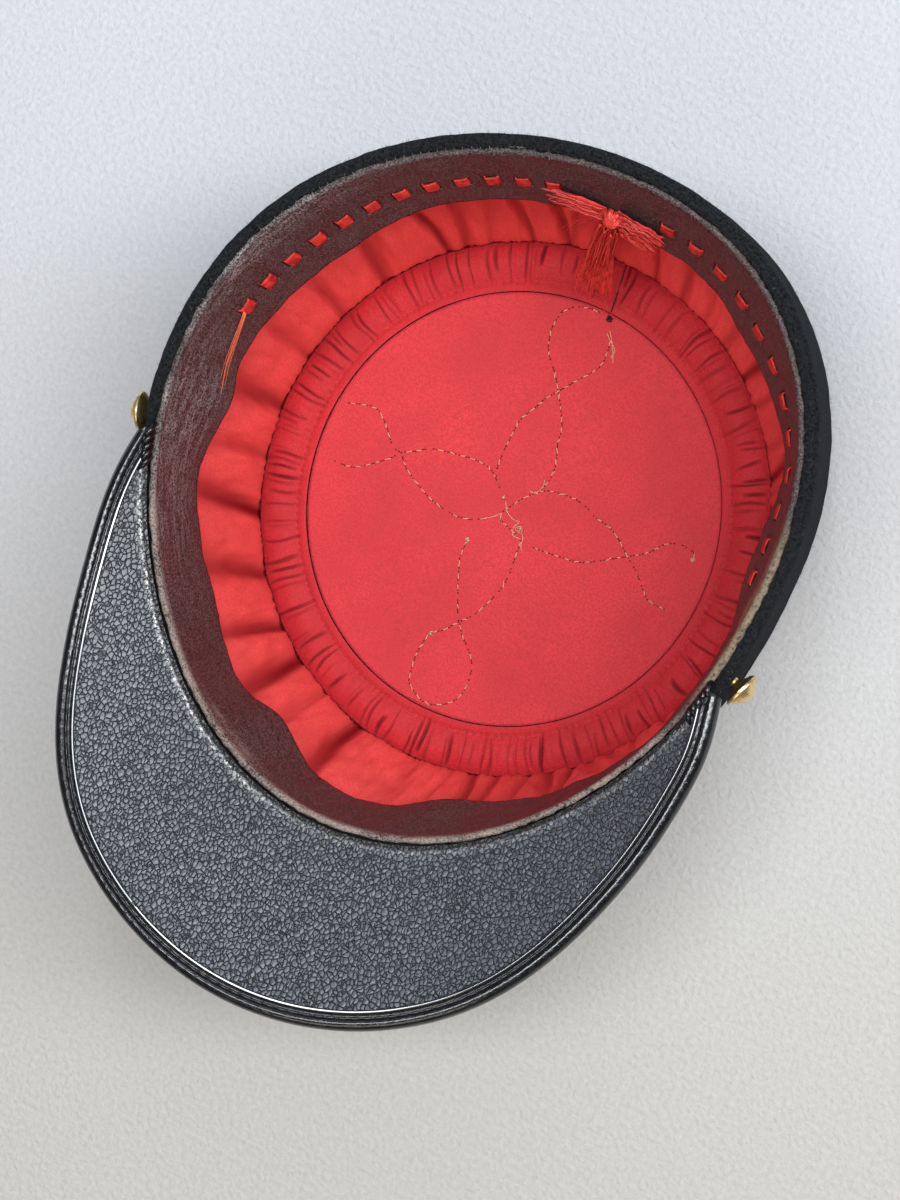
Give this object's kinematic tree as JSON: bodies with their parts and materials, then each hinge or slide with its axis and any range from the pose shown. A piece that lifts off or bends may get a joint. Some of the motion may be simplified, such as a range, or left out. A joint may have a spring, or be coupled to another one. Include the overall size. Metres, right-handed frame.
{
  "type": "kepi cap",
  "caption": "Wool kepi cap lying upside down on its flat crown, with a leather peak, gilt side buttons, red lining and a leather sweatband laced with ribbon.",
  "frame": {"origin": "centre of the crown's flat outer face, on which the cap lies", "axes": "+Z out of the crown toward the opening, the peak toward -Y, the back of the cap toward +Y, +X across"},
  "size_m": [0.1899, 0.2456, 0.109],
  "materials": {
    "wool": "dark blue-black felted wool, matt and fuzzy",
    "peak_leather": "black pebbled leather, half gloss",
    "patent_leather": "black patent leather, glossy",
    "sweatband_leather": "dark brown leather, worn at the fold",
    "ribbon": "red silk ribbon, frayed at the ends",
    "lining": "red polished cotton with soft folds",
    "gilt": "gilt brass, a little worn"
  },
  "bodies": {
    "root": {"crown_tip": "wool", "crown_welt": "wool", "crown_side": "wool", "base_band": "wool", "peak": "peak_leather", "peak_binding": "patent_leather", "sweatband": "sweatband_leather", "ribbon_left": "ribbon", "ribbon_right": "ribbon", "ribbon_bow": "ribbon", "lining_side": "lining", "lining_ring": "lining", "lining_tip": "lining", "side_button_left": "gilt", "side_button_right": "gilt"}
  },
  "joints": []
}
